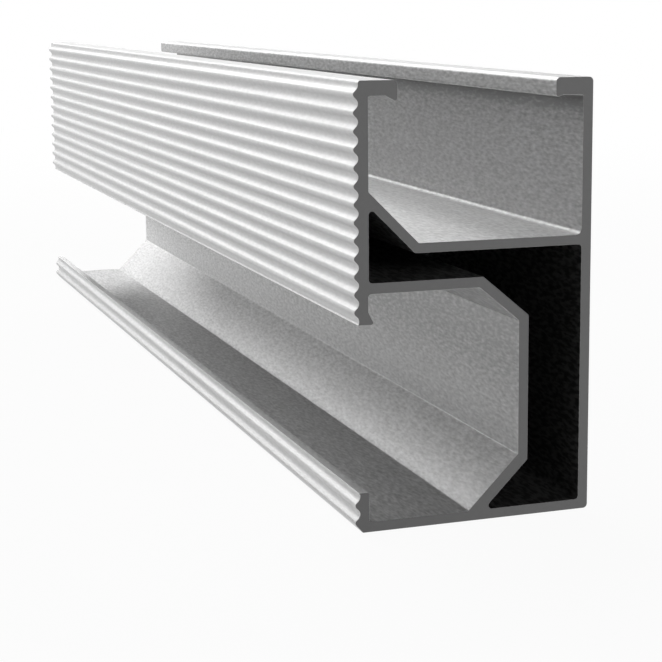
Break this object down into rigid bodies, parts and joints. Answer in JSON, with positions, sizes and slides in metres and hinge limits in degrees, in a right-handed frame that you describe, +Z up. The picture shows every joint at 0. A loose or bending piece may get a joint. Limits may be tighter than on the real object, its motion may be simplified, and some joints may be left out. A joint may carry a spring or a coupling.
{
  "type": "mounting rail",
  "caption": "Extruded aluminium mounting rail with a toothed side, a channel open at the top, a channel open at the toothed side and a closed chamber between them.",
  "frame": {"origin": "centre of the underside at mid-length, which is the bottom centre of the bounding box", "axes": "+Y along the rail from the near cut end to the far one; +X from the toothed side to the plain side; +Z up, out of the mouth of the top channel"},
  "size_m": [0.0362, 0.25, 0.0634],
  "materials": {
    "aluminium": "mill finish, satin, with fine lengthwise die lines; sawn ends"
  },
  "bodies": {
    "root": {"rail": "aluminium"}
  },
  "joints": []
}
